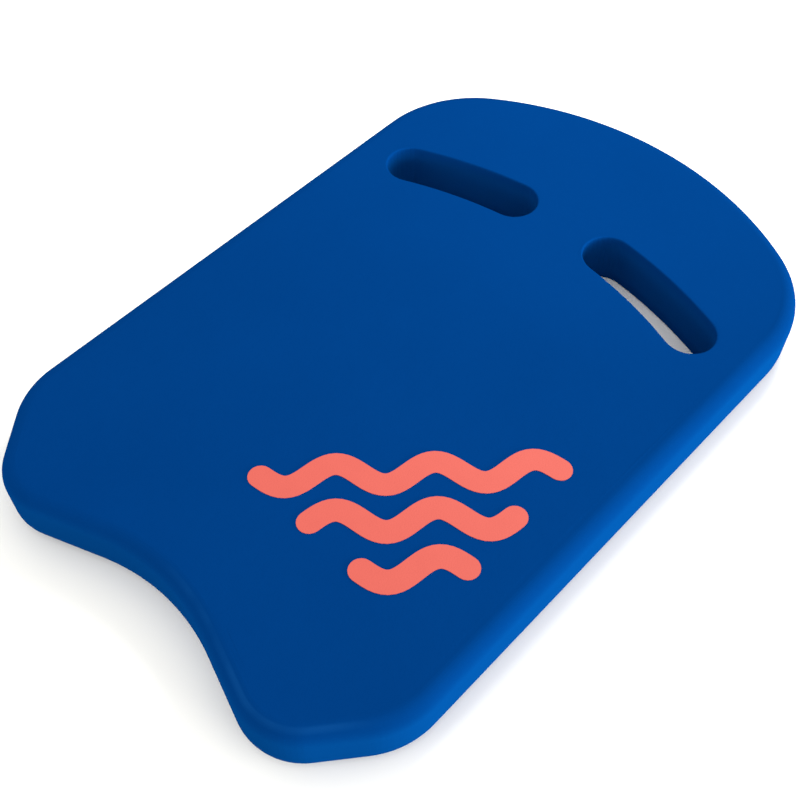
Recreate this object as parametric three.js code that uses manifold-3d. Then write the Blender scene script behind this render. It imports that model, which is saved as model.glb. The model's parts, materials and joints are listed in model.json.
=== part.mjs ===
// Kickboard float.
//
// A swimmer's kickboard in one piece of moulded closed-cell EVA foam: an arched nose, sides that run
// almost straight from the shoulders to the hips, and two rounded feet with a shallow body cut-out
// between them. Two curved hand slots go right through it. A motif of three waves is printed across
// the tail half of the top face, each wave line a separate film of ink.
//
// Millimetres. +Z points up out of the top face and +Y points towards the nose. The origin is on the
// underside, midway along the board's length and width.

import * as THREE from 'three';
import Module from 'manifold-3d';

// ---- Driving dimensions ----

// Foam, seen from above
const BOARD_LENGTH = 438; // from the nose to the ends of the feet
const NOSE_WIDTH = 290; // across the shoulders
const TAIL_WIDTH = 280; // across the hips
const NOSE_RADIUS = 204;
const SHOULDER_RADIUS = 75;
const HIP_RADIUS = 49;
const HIP_SETBACK = 63.5; // hip arc's centre, ahead of the ends of the feet
const FOOT_RADIUS = 35;
const FOOT_INSET = 20; // a foot's outer side, in from the side of the hip
const CUTOUT_DEPTH = 21; // body cut-out, on the centre line
const CUTOUT_FLANK = 35; // straight stretch from a foot to the arc of the cut-out

// Foam, in section
const BOARD_THICKNESS = 34;
const EDGE_RADIUS = 8.6; // round-over of the outer edges, top and bottom

// Hand slots, which follow one arc centred on the board's centre line
const SLOT_ARC_RADIUS = 271;
const SLOT_SETBACK = 102; // that arc, behind the nose on the centre line
const SLOT_WIDTH = 30.5;
const SLOT_BRIDGE = 41; // foam between the two slots
const SLOT_SIDE_WALL = 26.3; // foam between a slot and the side of the shoulder
const SLOT_RIM_RADIUS = 1;

// Printed waves
const WAVE_LENGTH = 50;
const WAVE_RISE = 13; // from trough to crest, on the middle of the line
const WAVE_LINE_WIDTH = 13;
const WAVE_LINE_PITCH = 27; // from one line to the next
const FILM_THICKNESS = 0.3;
const MOTIF_SIDE_SETBACK = 69; // middle of the motif, in from the side of the hip
const MOTIF_TAIL_SETBACK = 123; // middle of the motif, ahead of the ends of the feet
const MOTIF_ANGLE = THREE.MathUtils.degToRad(44); // from across the board to the run of the lines

// The wave lines from the first to the last, with how many whole waves each one has
const WAVE_LINES = [
  { name: 'print_wave_long', waves: 3 },
  { name: 'print_wave_middle', waves: 2 },
  { name: 'print_wave_short', waves: 1 },
];

// ---- Fineness of the facets ----

const CHORD_ERROR = 0.05; // most that an outline's arc is cut short by
const SAME_POINT = 1e-6; // points nearer than this are one
const OUTER_EDGE_STEPS = 6;
const SLOT_RIM_STEPS = 3;
const WAVE_STEPS = 24; // for each whole wave
const LINE_END_STEPS = 10;
const CUTTER_OVERRUN = 5; // of a slot's cutter, past each face

const foamMaterial = new THREE.MeshStandardMaterial({ color: 0x03489b, roughness: 0.7, metalness: 0 });
const inkMaterial = new THREE.MeshStandardMaterial({ color: 0xfa7568, roughness: 0.5, metalness: 0 });

const wasm = await Module();
wasm.setup();

// ---- Outlines as belts round circles ----

function mirrored({ x, y, radius }) {
  return { x: -x, y, radius };
}

// Angle of the outward normal where a belt leaves one circle on its way to the next. It runs along
// their common tangent, or straight across where one circle touches the other from inside.
function leavingAngle(circle, next) {
  const dx = next.x - circle.x;
  const dy = next.y - circle.y;
  const cosine = (circle.radius - next.radius) / Math.hypot(dx, dy);
  return Math.atan2(dy, dx) - Math.acos(THREE.MathUtils.clamp(cosine, -1, 1));
}

// Points of a belt that runs anticlockwise round a ring of circles. It passes outside a circle of
// positive radius, as a convex arc, and bends the other way round one of negative radius. Taking an
// inset off every radius moves the whole outline in by that much along its normals. Where two circles
// touch, their arcs share a point, which is kept once.
function beltOutline(circles, inset) {
  const leaving = circles.map((circle, i) => leavingAngle(circle, circles[(i + 1) % circles.length]));
  const points = circles.flatMap(({ x, y, radius }, i) => {
    const arriving = leaving.at(i - 1);
    const turn = Math.sign(radius);
    const sweep = THREE.MathUtils.euclideanModulo(turn * (leaving[i] - arriving), 2 * Math.PI);
    const widestStep = 2 * Math.acos(1 - CHORD_ERROR / Math.abs(radius));
    const steps = Math.ceil(sweep / widestStep);
    return Array.from({ length: steps + 1 }, (_, step) => {
      const angle = arriving + (turn * sweep * step) / steps;
      const reach = radius - inset;
      return new THREE.Vector2(x + reach * Math.cos(angle), y + reach * Math.sin(angle));
    });
  });
  return points.filter((point, i) => point.distanceTo(points.at(i - 1)) > SAME_POINT);
}

// The board's outline: nose, then the left shoulder, hip and foot, the cut-out, and the right side.
function boardCircles() {
  const nose = { x: 0, y: BOARD_LENGTH / 2 - NOSE_RADIUS, radius: NOSE_RADIUS };
  const shoulderX = NOSE_WIDTH / 2 - SHOULDER_RADIUS;
  const shoulderRise = Math.sqrt((NOSE_RADIUS - SHOULDER_RADIUS) ** 2 - shoulderX ** 2);
  const shoulder = { x: shoulderX, y: nose.y + shoulderRise, radius: SHOULDER_RADIUS };
  const tailY = -BOARD_LENGTH / 2;
  const hip = { x: TAIL_WIDTH / 2 - HIP_RADIUS, y: tailY + HIP_SETBACK, radius: HIP_RADIUS };
  const footX = TAIL_WIDTH / 2 - FOOT_INSET - FOOT_RADIUS;
  const foot = { x: footX, y: tailY + FOOT_RADIUS, radius: FOOT_RADIUS };
  const spanSquared = footX ** 2 + CUTOUT_DEPTH ** 2 - CUTOUT_FLANK ** 2;
  const cutoutRadius = spanSquared / (2 * CUTOUT_DEPTH) - FOOT_RADIUS;
  const cutout = { x: 0, y: tailY + CUTOUT_DEPTH - cutoutRadius, radius: -cutoutRadius };
  return [nose, mirrored(shoulder), mirrored(hip), mirrored(foot), cutout, foot, hip, shoulder];
}

// One hand slot's outline: its side towards the nose, its inner end, its side towards the tail, and
// its outer end.
function slotCircles() {
  const arcY = BOARD_LENGTH / 2 - SLOT_SETBACK - SLOT_ARC_RADIUS;
  const half = SLOT_WIDTH / 2;
  const end = (x) => ({ x, y: arcY + Math.sqrt(SLOT_ARC_RADIUS ** 2 - x ** 2), radius: half });
  const noseSide = { x: 0, y: arcY, radius: SLOT_ARC_RADIUS + half };
  const tailSide = { x: 0, y: arcY, radius: half - SLOT_ARC_RADIUS };
  return [noseSide, end(SLOT_BRIDGE / 2 + half), tailSide, end(NOSE_WIDTH / 2 - SLOT_SIDE_WALL - half)];
}

// ---- Solids ----

// Heights on the board's wall, from the underside up, with both its edges rounded over. Each has how
// far the wall stands back there. A direction of 1 takes that off the outline and -1 adds it.
function wallLevels(radius, steps, direction) {
  const lower = Array.from({ length: steps + 1 }, (_, step) => {
    const angle = (Math.PI / 2) * (1 - step / steps);
    return { z: radius * (1 - Math.sin(angle)), inset: direction * radius * (1 - Math.cos(angle)) };
  });
  const upper = lower.map(({ z, inset }) => ({ z: BOARD_THICKNESS - z, inset })).reverse();
  return [...lower, ...upper];
}

// A closed solid through loops that all come from one ring of circles, the lowest loop first.
function loftSolid(circles, levels) {
  const loops = levels.map(({ inset }) => beltOutline(circles, inset));
  const count = loops[0].length;
  const vertices = loops.flatMap((loop, i) => loop.flatMap((point) => [point.x, point.y, levels[i].z]));
  const top = count * (loops.length - 1);
  const triangles = [];
  for (let base = 0; base < top; base += count) {
    for (let i = 0; i < count; i += 1) {
      const j = (i + 1) % count;
      triangles.push(base + i, base + j, base + count + j);
      triangles.push(base + i, base + count + j, base + count + i);
    }
  }
  for (const [a, b, c] of THREE.ShapeUtils.triangulateShape(loops[0], [])) {
    triangles.push(a, c, b);
  }
  for (const [a, b, c] of THREE.ShapeUtils.triangulateShape(loops.at(-1), [])) {
    triangles.push(top + a, top + b, top + c);
  }
  const vertProperties = new Float32Array(vertices);
  const triVerts = new Uint32Array(triangles);
  return new wasm.Manifold(new wasm.Mesh({ numProp: 3, vertProperties, triVerts }));
}

function solidGeometry(solid) {
  const { vertProperties, triVerts } = solid.getMesh();
  const geometry = new THREE.BufferGeometry();
  geometry.setAttribute('position', new THREE.BufferAttribute(vertProperties, 3));
  geometry.setIndex(new THREE.BufferAttribute(triVerts, 1));
  geometry.computeVertexNormals();
  return geometry;
}

// Cuts a hand slot. It widens towards both faces, which leaves the foam with rounded rims.
function slotCutter(circles) {
  const rims = wallLevels(SLOT_RIM_RADIUS, SLOT_RIM_STEPS, -1);
  const below = { z: -CUTTER_OVERRUN, inset: -SLOT_RIM_RADIUS };
  const above = { z: BOARD_THICKNESS + CUTTER_OVERRUN, inset: -SLOT_RIM_RADIUS };
  return loftSolid(circles, [below, ...rims, above]);
}

function foamBoard() {
  const blank = loftSolid(boardCircles(), wallLevels(EDGE_RADIUS, OUTER_EDGE_STEPS, 1));
  const right = slotCircles();
  const left = right.map(mirrored).reverse();
  const solid = blank.subtract(slotCutter(right)).subtract(slotCutter(left));
  const board = new THREE.Mesh(solidGeometry(solid), foamMaterial);
  board.name = 'foam_board';
  return board;
}

// Outline of one wave line: a sine curve given its width, with round ends.
function waveOutline(waves) {
  const half = WAVE_LINE_WIDTH / 2;
  const pace = (2 * Math.PI) / WAVE_LENGTH;
  const pointOn = (x) => new THREE.Vector2(x, (WAVE_RISE / 2) * Math.sin(pace * x));
  const headingOn = (x) => Math.atan((WAVE_RISE / 2) * pace * Math.cos(pace * x));
  const beside = (x, turn) => {
    const angle = headingOn(x) + turn;
    return pointOn(x).add(new THREE.Vector2(half * Math.cos(angle), half * Math.sin(angle)));
  };
  const reach = (waves * WAVE_LENGTH) / 2;
  const steps = waves * WAVE_STEPS;
  const points = [];
  for (let i = 0; i <= steps; i += 1) {
    points.push(beside(-reach + (2 * reach * i) / steps, -Math.PI / 2));
  }
  for (let i = 1; i < LINE_END_STEPS; i += 1) {
    points.push(beside(reach, Math.PI * (i / LINE_END_STEPS - 0.5)));
  }
  for (let i = 0; i <= steps; i += 1) {
    points.push(beside(reach - (2 * reach * i) / steps, Math.PI / 2));
  }
  for (let i = 1; i < LINE_END_STEPS; i += 1) {
    points.push(beside(-reach, Math.PI * (i / LINE_END_STEPS + 0.5)));
  }
  return new THREE.Shape(points);
}

// The three wave lines, one below another, turned together on the top face.
function waveMotif() {
  const motif = new THREE.Group();
  motif.position.set(
    TAIL_WIDTH / 2 - MOTIF_SIDE_SETBACK,
    MOTIF_TAIL_SETBACK - BOARD_LENGTH / 2,
    BOARD_THICKNESS,
  );
  motif.rotation.z = MOTIF_ANGLE;
  const middle = (WAVE_LINES.length - 1) / 2;
  WAVE_LINES.forEach(({ name, waves }, i) => {
    const film = { depth: FILM_THICKNESS, bevelEnabled: false };
    const line = new THREE.Mesh(new THREE.ExtrudeGeometry(waveOutline(waves), film), inkMaterial);
    line.name = name;
    line.position.y = (middle - i) * WAVE_LINE_PITCH;
    motif.add(line);
  });
  return motif;
}

const kickboard = new THREE.Group();
kickboard.add(foamBoard(), waveMotif());

export default kickboard;
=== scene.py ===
import json
import math

import bpy
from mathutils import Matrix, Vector

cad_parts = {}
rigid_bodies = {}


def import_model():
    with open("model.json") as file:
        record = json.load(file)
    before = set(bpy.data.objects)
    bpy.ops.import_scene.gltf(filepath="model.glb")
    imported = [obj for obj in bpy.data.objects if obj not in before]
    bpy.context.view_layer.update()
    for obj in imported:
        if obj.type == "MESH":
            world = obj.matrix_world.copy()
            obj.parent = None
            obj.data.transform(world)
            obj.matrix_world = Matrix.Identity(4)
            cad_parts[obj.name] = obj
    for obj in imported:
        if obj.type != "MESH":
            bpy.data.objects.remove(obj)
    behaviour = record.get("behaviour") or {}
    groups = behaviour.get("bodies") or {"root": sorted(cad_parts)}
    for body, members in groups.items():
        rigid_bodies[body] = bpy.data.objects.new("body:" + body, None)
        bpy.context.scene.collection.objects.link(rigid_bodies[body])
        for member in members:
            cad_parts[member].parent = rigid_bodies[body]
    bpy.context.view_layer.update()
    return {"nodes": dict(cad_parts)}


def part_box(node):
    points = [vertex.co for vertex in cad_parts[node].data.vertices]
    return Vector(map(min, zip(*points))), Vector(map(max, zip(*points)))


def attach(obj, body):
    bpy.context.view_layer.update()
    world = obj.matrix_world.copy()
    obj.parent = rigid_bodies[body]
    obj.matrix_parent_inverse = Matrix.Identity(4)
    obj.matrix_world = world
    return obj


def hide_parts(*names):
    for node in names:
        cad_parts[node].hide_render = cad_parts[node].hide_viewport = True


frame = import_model()


# ---- Camera --------------------------------------------------------------------------------------
# The board lies flat on its underside, seen from beyond its right-hand foot and well above it, so
# that the whole top face, the right side and the ends of both feet show.

VIEW_AZIMUTH = math.radians(42.43)
VIEW_ELEVATION = math.radians(52.93)
VIEW_DISTANCE = 0.6102
VIEW_TARGET = Vector((0.0011, -0.0284, 0.0))
VIEW_LENS = 48.34
VIEW_SENSOR = 36

towards_camera = Vector((
    math.sin(VIEW_AZIMUTH) * math.cos(VIEW_ELEVATION),
    -math.cos(VIEW_AZIMUTH) * math.cos(VIEW_ELEVATION),
    math.sin(VIEW_ELEVATION),
))
camera = bpy.data.objects.new("camera", bpy.data.cameras.new("camera"))
camera.data.lens = VIEW_LENS
camera.data.sensor_width = VIEW_SENSOR
camera.location = VIEW_TARGET + towards_camera * VIEW_DISTANCE
camera.rotation_euler = towards_camera.to_track_quat("Z", "Y").to_euler()
bpy.context.scene.collection.objects.link(camera)
bpy.context.scene.camera = camera


# ---- Foam board ----------------------------------------------------------------------------------
# One moulding of closed-cell EVA foam, solid right through. Its walls are painted a shade lighter
# than its flats as painted light, and a pale painted highlight runs along the right foot's top edge.
# The mould rounds its edges over, and leaves two curved hand slots with softened rims right through
# it.

NOSE_RADIUS = 0.204
SHOULDER_RADIUS = 0.075
HIP_RADIUS = 0.049
HIP_SETBACK = 0.0635
TAIL_HALF_WIDTH = 0.140
FOOT_RADIUS = 0.035
FOOT_INSET = 0.020
CUTOUT_DEPTH = 0.021
CUTOUT_FLANK = 0.035
EDGE_RADIUS = 0.0086
EDGE_SEGMENTS = 10

SLOT_ARC_RADIUS = 0.271
SLOT_SETBACK = 0.102
SLOT_WIDTH = 0.0305
SLOT_BRIDGE = 0.041
SLOT_SIDE_WALL = 0.0263
SLOT_RIM_RADIUS = 0.001
SLOT_RIM_SEGMENTS = 4

ARC_STEP = 0.003
LEAST_ARC_STEPS = 2
ROUND_PROFILE = 0.5
RIM_MARGIN = 0.0015
FLAT_STEP = 0.008
WALL_STEP = 0.0042
WELD = 0.00002
FINE_WELD = 0.000005
FLATNESS = 0.999
AHEAD = math.pi / 2
BEHIND = -math.pi / 2
UNEVEN_PART = "top_face"
UNEVEN_LENGTH = 0.045
UNEVEN_DEPTH = 0.0002

foam_low, foam_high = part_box("foam_board")
thickness = foam_high.z
nose_half_width = foam_high.x
nose_end = foam_high.y
tail_end = foam_low.y


def start_outline(name, start):
    """A new mesh that holds one point, in edit mode, for an outline to be drawn from."""
    bpy.ops.object.select_all(action="DESELECT")
    bpy.ops.mesh.primitive_plane_add(size=ARC_STEP, location=(0, 0, 0))
    bpy.context.object.name = name
    bpy.ops.object.mode_set(mode="EDIT")
    bpy.ops.mesh.select_mode(type="VERT")
    bpy.ops.mesh.select_all(action="SELECT")
    bpy.ops.mesh.merge(type="CENTER")
    bpy.ops.transform.translate(value=(start[0], start[1], 0))
    return bpy.context.object


def draw_line(start, end):
    """Draws on from the selected point, straight."""
    step = (end[0] - start[0], end[1] - start[1], 0)
    bpy.ops.mesh.extrude_region_move(TRANSFORM_OT_translate={"value": step})


def draw_arc(centre, radius, turn):
    """Draws on from the selected point, round a centre. A positive turn is clockwise from above."""
    steps = max(LEAST_ARC_STEPS, math.ceil(abs(turn) * radius / ARC_STEP))
    bpy.ops.mesh.spin(steps=steps, angle=turn, center=(*centre, 0), axis=(0, 0, 1))


def leaving_angle(circle, following):
    """Angle of the outward normal where a clockwise belt leaves a circle for the next one."""
    (x, y, radius), (next_x, next_y, next_radius) = circle, following
    cosine = (radius - next_radius) / math.hypot(next_x - x, next_y - y)
    return math.atan2(next_y - y, next_x - x) + math.acos(max(-1, min(1, cosine)))


def draw_belt(name, circles, first_angle, last_angle):
    """Draws an outline clockwise round circles, as a belt. A negative radius bends the other way."""
    angles = [leaving_angle(a, b) for a, b in zip(circles, circles[1:])] + [last_angle]
    arriving = first_angle
    point = None
    for (x, y, radius), leaving in zip(circles, angles):
        begin = (x + radius * math.cos(arriving), y + radius * math.sin(arriving))
        if point is None:
            outline = start_outline(name, begin)
        elif math.dist(point, begin) > WELD:
            draw_line(point, begin)
        way = math.copysign(1, radius)
        turn = way * ((way * (arriving - leaving)) % math.tau)
        draw_arc((x, y), abs(radius), turn)
        point = (x + radius * math.cos(leaving), y + radius * math.sin(leaving))
        arriving = leaving
    return outline


def raise_outline(bottom, top):
    """Turns the outline being edited into a closed block between two heights."""
    bpy.ops.mesh.select_all(action="SELECT")
    bpy.ops.mesh.remove_doubles(threshold=WELD)
    bpy.ops.mesh.edge_face_add()
    bpy.ops.transform.translate(value=(0, 0, bottom))
    bpy.ops.mesh.extrude_region_move(TRANSFORM_OT_translate={"value": (0, 0, top - bottom)})
    bpy.ops.mesh.select_all(action="SELECT")
    bpy.ops.mesh.normals_make_consistent(inside=False)
    bpy.ops.object.mode_set(mode="OBJECT")


shoulder_x = nose_half_width - SHOULDER_RADIUS
shoulder_rise = math.sqrt((NOSE_RADIUS - SHOULDER_RADIUS) ** 2 - shoulder_x**2)
foot_x = TAIL_HALF_WIDTH - FOOT_INSET - FOOT_RADIUS
cutout_span = foot_x**2 + CUTOUT_DEPTH**2 - CUTOUT_FLANK**2
cutout_radius = cutout_span / (2 * CUTOUT_DEPTH) - FOOT_RADIUS

nose = (0, nose_end - NOSE_RADIUS, NOSE_RADIUS)
shoulder = (shoulder_x, nose[1] + shoulder_rise, SHOULDER_RADIUS)
hip = (TAIL_HALF_WIDTH - HIP_RADIUS, tail_end + HIP_SETBACK, HIP_RADIUS)
foot = (foot_x, tail_end + FOOT_RADIUS, FOOT_RADIUS)
cutout = (0, tail_end + CUTOUT_DEPTH - cutout_radius, -cutout_radius)

half_outline = [nose, shoulder, hip, foot, cutout]
board = draw_belt("kickboard_foam", half_outline, AHEAD, BEHIND)
bpy.ops.mesh.select_all(action="SELECT")
bpy.ops.mesh.symmetrize(direction="POSITIVE_X", threshold=WELD)
raise_outline(0, thickness)


def select_faces(piece, wanted):
    """Opens the piece for editing with only its faces of a wanted centre and normal selected."""
    bpy.ops.object.mode_set(mode="EDIT")
    bpy.ops.mesh.select_mode(type="FACE")
    bpy.ops.mesh.select_all(action="DESELECT")
    bpy.ops.object.mode_set(mode="OBJECT")
    for face in piece.data.polygons:
        face.select = wanted(face.center, face.normal)
    bpy.ops.object.mode_set(mode="EDIT")


def is_flat(centre, normal):
    return abs(normal.z) > FLATNESS


def is_wall(centre, normal):
    return abs(normal.z) < 1 - FLATNESS


def is_on_top(centre, normal):
    return is_flat(centre, normal) and centre.z > thickness / 2


def round_rims(radius, segments):
    """Rounds the outline of the selected faces over."""
    bpy.ops.mesh.region_to_loop()
    bpy.ops.mesh.bevel(
        offset=radius,
        segments=segments,
        profile=ROUND_PROFILE,
        clamp_overlap=False,
    )


def slice_selected(*cuts):
    """Cuts the selected faces by evenly spaced planes. A cut is an axis, two ends and a step."""
    bpy.ops.mesh.hide(unselected=True)
    for axis, first, last, step in cuts:
        count = math.ceil((last - first) / step)
        for i in range(1, count):
            place = first + (last - first) * i / count
            bpy.ops.mesh.select_all(action="SELECT")
            bpy.ops.mesh.bisect(plane_co=Vector(axis) * place, plane_no=axis)
    bpy.ops.mesh.reveal(select=False)


select_faces(board, is_flat)
round_rims(EDGE_RADIUS, EDGE_SEGMENTS)
bpy.ops.mesh.select_all(action="SELECT")
bpy.ops.mesh.remove_doubles(threshold=WELD)
bpy.ops.object.mode_set(mode="OBJECT")


def slot_end(x):
    """The circle that rounds off a slot's end whose centre is that far from the centre line."""
    return (x, slot_arc_y + math.sqrt(SLOT_ARC_RADIUS**2 - x**2), SLOT_WIDTH / 2)


slot_arc_y = nose_end - SLOT_SETBACK - SLOT_ARC_RADIUS
slot_inner_x = SLOT_BRIDGE / 2 + SLOT_WIDTH / 2
slot_outer_x = nose_half_width - SLOT_SIDE_WALL - SLOT_WIDTH / 2
far_side = (0, slot_arc_y, SLOT_ARC_RADIUS + SLOT_WIDTH / 2)
near_side = (0, slot_arc_y, SLOT_WIDTH / 2 - SLOT_ARC_RADIUS)
inner_end = slot_end(slot_inner_x)
outer_end = slot_end(slot_outer_x)
start_angle = math.atan2(inner_end[1] - slot_arc_y, inner_end[0])
slot_belt = [far_side, outer_end, near_side, inner_end]
cutter = draw_belt("slot_cutter", slot_belt, start_angle, start_angle)
raise_outline(-thickness, 2 * thickness)
bpy.ops.object.mode_set(mode="EDIT")
bpy.ops.mesh.symmetrize(direction="POSITIVE_X", threshold=WELD)
bpy.ops.object.mode_set(mode="OBJECT")

bpy.context.view_layer.objects.active = board
cut = board.modifiers.new("slots", "BOOLEAN")
cut.operation = "DIFFERENCE"
cut.solver = "EXACT"
cut.object = cutter
bpy.ops.object.modifier_apply(modifier=cut.name)
bpy.data.objects.remove(cutter)


def is_slot_wall(centre, normal):
    """Upright faces well inside the outline belong to the hand slots."""
    across = abs(math.hypot(centre.x, centre.y - slot_arc_y) - SLOT_ARC_RADIUS)
    within = abs(centre.x) < slot_outer_x + SLOT_WIDTH / 2 + WELD
    return is_wall(centre, normal) and within and across < SLOT_WIDTH / 2 + WELD


select_faces(board, is_slot_wall)
round_rims(SLOT_RIM_RADIUS, SLOT_RIM_SEGMENTS)
select_faces(board, is_flat)
bpy.ops.mesh.inset(thickness=RIM_MARGIN, depth=0, use_even_offset=True)
bpy.ops.mesh.inset(thickness=RIM_MARGIN, depth=0, use_even_offset=True)
slice_selected(
    ((1, 0, 0), -nose_half_width, nose_half_width, FLAT_STEP),
    ((0, 1, 0), tail_end, nose_end, FLAT_STEP),
)
select_faces(board, is_wall)
slice_selected(((0, 0, 1), 0, thickness, WALL_STEP))
bpy.ops.mesh.select_all(action="SELECT")
bpy.ops.mesh.remove_doubles(threshold=FINE_WELD)
bpy.ops.mesh.normals_make_consistent(inside=False)
select_faces(board, is_on_top)
bpy.ops.mesh.select_less()
board.vertex_groups.new(name=UNEVEN_PART)
bpy.ops.object.vertex_group_assign()
bpy.ops.object.mode_set(mode="OBJECT")
clouds = bpy.data.textures.new("foam_unevenness", "CLOUDS")
clouds.noise_scale = UNEVEN_LENGTH
swell = board.modifiers.new("unevenness", "DISPLACE")
swell.texture = clouds
swell.vertex_group = UNEVEN_PART
swell.strength = UNEVEN_DEPTH
bpy.ops.object.modifier_apply(modifier=swell.name)
bpy.ops.object.shade_smooth()

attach(board, "root")
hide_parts("foam_board")


class Wire:
    """A value on its way through a node tree. Arithmetic on wires adds Math nodes."""

    def __init__(self, nodes, socket):
        self.nodes = nodes
        self.socket = socket

    def maths(self, operation, first, second):
        return self.nodes.add("Math", {"operation": operation}, {0: first, 1: second})

    def __add__(self, other):
        return self.maths("ADD", self, other)

    def __mul__(self, other):
        return self.maths("MULTIPLY", self, other)

    def __rsub__(self, other):
        return self.maths("SUBTRACT", other, self)

    __radd__ = __add__
    __rmul__ = __mul__


METRE = 1.0
MIX_LOW_COLOUR = 6
MIX_HIGH_COLOUR = 7
MIX_COLOUR_OUT = 2


class Nodes:
    """The node tree of a new material, whose patterns read object coordinates in metres."""

    def __init__(self, name):
        self.material = bpy.data.materials.new(name)
        self.material.use_nodes = True
        self.tree = self.material.node_tree
        self.place = self.add("TexCoord", {}, {}, "Object")

    def add(self, kind, settings, values, output=0):
        """Adds a node: its settings first, then the values or wires of its sockets."""
        node = self.tree.nodes.new("ShaderNode" + kind)
        for name, setting in settings.items():
            setattr(node, name, setting)
        self.feed(node, values)
        return Wire(self, node.outputs[output])

    def feed(self, node, values):
        """Gives sockets of a node their values or wires."""
        for name, value in values.items():
            if isinstance(value, Wire):
                self.tree.links.new(value.socket, node.inputs[name])
            else:
                node.inputs[name].default_value = value

    def along(self, axis):
        """How far along the X, Y or Z axis of the piece a point is, in metres."""
        return self.add("SeparateXYZ", {}, {0: self.place}, axis)

    def noise(self, size, detail):
        """Unevenness from 0 to 1 whose blotches are about that many metres across."""
        values = {"Vector": self.place, "Scale": 1 / size, "Detail": detail}
        return self.add("TexNoise", {}, values)

    def ramp(self, value, start, end):
        """Goes softly from 0 to 1 as the value goes from start to end."""
        values = {"Value": value, "From Min": start, "From Max": end}
        return self.add("MapRange", {"interpolation_type": "SMOOTHSTEP"}, values)

    def bump(self, relief):
        """The normal of a surface whose height above its mesh is the relief, in metres."""
        return self.add("Bump", {}, {"Height": relief, "Distance": METRE})

    def between(self, amount, low, high):
        """The colour that goes from low to high as the amount goes from 0 to 1."""
        values = {"Factor": amount, MIX_LOW_COLOUR: low, MIX_HIGH_COLOUR: high}
        return self.add("Mix", {"data_type": "RGBA"}, values, MIX_COLOUR_OUT)

    def finish(self, **shader_values):
        """Sets the shader's own sockets, and gives the material."""
        values = {name.replace("_", " "): value for name, value in shader_values.items()}
        self.feed(self.tree.nodes["Principled BSDF"], values)
        return self.material


FOAM_DEEP = (0.0002, 0.0283, 0.134, 1)
FOAM_LIGHT = (0.0004, 0.0355, 0.165, 1)
FOAM_PAINTED_HIGHLIGHT = (0.0030, 0.0500, 0.193, 1)
# The walls are painted this lighter blue as painted light, for the light they catch; the flats keep
# the mottled blue.
FOAM_WALL_PAINTED_LIGHT = (0.0005, 0.0440, 0.180, 1)
BLOTCH_SIZE = 0.090
BLOTCH_DETAIL = 3.0
BLOTCH_SHARE = 0.62
PEEL_SIZE = 0.0045
PEEL_DETAIL = 2.0
PEEL_SHARE = 0.16
PEEL_DEPTH = 0.00005
CELL_SIZE = 0.0008
CELL_DETAIL = 1.0
CELL_SHARE = 0.22
CELL_DEPTH = 0.00004
FOAM_ROUGHNESS = 0.62
CELL_ROUGHNESS = 0.14
BLOTCH_ROUGHNESS = 0.06
FOAM_SPECULAR = 0.0
WALL_LIGHT_SHARE = 0.7
WALL_FADE = (EDGE_RADIUS / 4, EDGE_RADIUS)
# A pale line painted along the top edge of the right foot, where the flat rounds over: a painted
# highlight.
HIGHLIGHT_TOP = thickness - 0.00011
HIGHLIGHT_PEAK = thickness - 0.00045
HIGHLIGHT_END = thickness - 0.0022
HIGHLIGHT_REACH = (tail_end + 0.018, tail_end + 0.048)
HIGHLIGHT_SIDE = (-0.010, 0.030)
HIGHLIGHT_PATCH_SIZE = 0.030
HIGHLIGHT_PATCH_DETAIL = 2.0
HIGHLIGHT_PATCH_FADE = (0.30, 0.62)
HIGHLIGHT_STRENGTH = 0.6

foam = Nodes("blue_eva_foam")
blotches = foam.noise(BLOTCH_SIZE, BLOTCH_DETAIL)
peel = foam.noise(PEEL_SIZE, PEEL_DETAIL)
cells = foam.noise(CELL_SIZE, CELL_DETAIL)
height = foam.along("Z")

# Painted highlight: a pale, patchy line along the right foot's top edge, just past the flat.
past_flat = foam.ramp(height, HIGHLIGHT_TOP, HIGHLIGHT_PEAK)
above_wall = 1 - foam.ramp(height, HIGHLIGHT_PEAK, HIGHLIGHT_END)
on_tail = 1 - foam.ramp(foam.along("Y"), *HIGHLIGHT_REACH)
on_right = foam.ramp(foam.along("X"), *HIGHLIGHT_SIDE)
patchy = foam.ramp(foam.noise(HIGHLIGHT_PATCH_SIZE, HIGHLIGHT_PATCH_DETAIL), *HIGHLIGHT_PATCH_FADE)
painted_highlight = HIGHLIGHT_STRENGTH * past_flat * above_wall * on_tail * on_right * patchy

mottling = BLOTCH_SHARE * blotches + PEEL_SHARE * peel + CELL_SHARE * cells
# Painted light: the upright walls, between their rounded edges, take the lighter wall blue.
above_underside = foam.ramp(height, *WALL_FADE)
below_top = foam.ramp(thickness - height, *WALL_FADE)
painted_wall_light = WALL_LIGHT_SHARE * below_top * above_underside
skin_and_painted_wall_light = foam.between(painted_wall_light, foam.between(mottling, FOAM_DEEP, FOAM_LIGHT), FOAM_WALL_PAINTED_LIGHT)

board.data.materials.append(foam.finish(
    Base_Color=foam.between(painted_highlight, skin_and_painted_wall_light, FOAM_PAINTED_HIGHLIGHT),
    Roughness=FOAM_ROUGHNESS + CELL_ROUGHNESS * cells + BLOTCH_ROUGHNESS * blotches,
    Normal=foam.bump(CELL_DEPTH * cells + PEEL_DEPTH * peel),
    Specular_IOR_Level=FOAM_SPECULAR,
))


# ---- Printed waves -------------------------------------------------------------------------------
# Three waves of coral ink, screen printed on the flat of the top face near the tail. The ink is a
# thin film that follows the fine grain of the foam, a little shinier than the foam round it.

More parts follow.
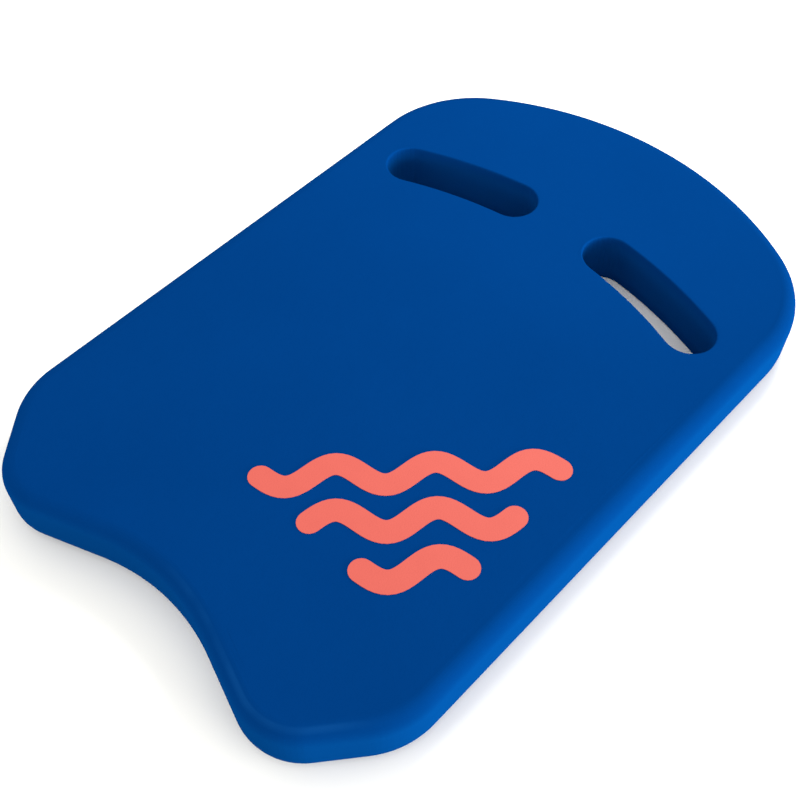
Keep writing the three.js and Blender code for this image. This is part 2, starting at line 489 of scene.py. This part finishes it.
INK_DEEP = (0.504, 0.087, 0.066, 1)
INK_LIGHT = (0.557, 0.101, 0.077, 1)
INK_PATCH_SIZE = 0.012
INK_PATCH_DETAIL = 2.0
INK_PATCH_SHARE = 0.6
INK_GRAIN_SIZE = 0.0009
INK_GRAIN_DETAIL = 1.0
INK_GRAIN_SHARE = 0.4
INK_GRAIN_DEPTH = 0.00003
INK_ROUGHNESS = 0.48
INK_GRAIN_ROUGHNESS = 0.16
INK_SPECULAR = 0.15

ink = Nodes("coral_ink")
patches = ink.noise(INK_PATCH_SIZE, INK_PATCH_DETAIL)
grain = ink.noise(INK_GRAIN_SIZE, INK_GRAIN_DETAIL)
ink_mottling = INK_PATCH_SHARE * patches + INK_GRAIN_SHARE * grain
coral_ink = ink.finish(
    Base_Color=ink.between(ink_mottling, INK_DEEP, INK_LIGHT),
    Roughness=INK_ROUGHNESS + INK_GRAIN_ROUGHNESS * grain,
    Normal=ink.bump(INK_GRAIN_DEPTH * grain),
    Specular_IOR_Level=INK_SPECULAR,
)
for name in ("print_wave_long", "print_wave_middle", "print_wave_short"):
    frame["nodes"][name].material_slots[0].material = coral_ink


# ---- Studio --------------------------------------------------------------------------------------
# A seamless floor of slightly warm white paper under an even white surround, a wide soft light low
# down beyond the right side of the board, and two smaller ones beyond its nose and its tail.

FLOOR_SIZE = 60
FLOOR_DROP = 0.0002
FLOOR_GREYER = (0.972, 0.962, 0.908, 1)
FLOOR_WHITE = (0.985, 0.975, 0.920, 1)
PAPER_PATCH_SIZE = 1.5
PAPER_PATCH_DETAIL = 1.0
PAPER_ROUGHNESS = 0.9
PAPER_SPECULAR = 0.0
WHITE = (1, 1, 1, 1)
SURROUND = 1.11

bpy.ops.object.select_all(action="DESELECT")
bpy.ops.mesh.primitive_plane_add(size=FLOOR_SIZE, location=(0, 0, 0))
floor = bpy.context.object
floor.name = "studio_floor"
bpy.ops.object.mode_set(mode="EDIT")
bpy.ops.mesh.select_all(action="SELECT")
bpy.ops.transform.translate(value=(0, 0, -FLOOR_DROP))
bpy.ops.object.mode_set(mode="OBJECT")
paper = Nodes("white_paper")
paper_patches = paper.noise(PAPER_PATCH_SIZE, PAPER_PATCH_DETAIL)
floor.data.materials.append(paper.finish(
    Base_Color=paper.between(paper_patches, FLOOR_GREYER, FLOOR_WHITE),
    Roughness=PAPER_ROUGHNESS,
    Specular_IOR_Level=PAPER_SPECULAR,
))

world = bpy.data.worlds.new("white_surround")
world.use_nodes = True
background = world.node_tree.nodes["Background"]
background.inputs["Color"].default_value = WHITE
background.inputs["Strength"].default_value = SURROUND
bpy.context.scene.world = world
bpy.context.scene.view_settings.view_transform = "Standard"


def soft_light(name, place, aim, width, height, power):
    """A wide white area light at a place, turned to face another, that the camera doesn't see."""
    lamp = bpy.data.objects.new(name, bpy.data.lights.new(name, "AREA"))
    lamp.data.shape = "RECTANGLE"
    lamp.data.size = width
    lamp.data.size_y = height
    lamp.data.energy = power
    lamp.location = place
    towards = Vector(aim) - Vector(place)
    lamp.rotation_euler = towards.to_track_quat("-Z", "Y").to_euler()
    lamp.visible_camera = False
    bpy.context.scene.collection.objects.link(lamp)


BOARD_MIDDLE = (0, 0, 0.02)

soft_light(
    "right_side_light",
    place=(1.61, 0.52, 0.16),
    aim=BOARD_MIDDLE,
    width=1.4,
    height=0.20,
    power=51,
)
soft_light(
    "nose_light",
    place=(-0.03, 0.37, 0.50),
    aim=(-0.15, -0.15, 0.03),
    width=0.23,
    height=0.23,
    power=2.7,
)
soft_light(
    "tail_light",
    place=(-0.50, -1.15, 0.40),
    aim=BOARD_MIDDLE,
    width=0.8,
    height=0.5,
    power=3.2,
)
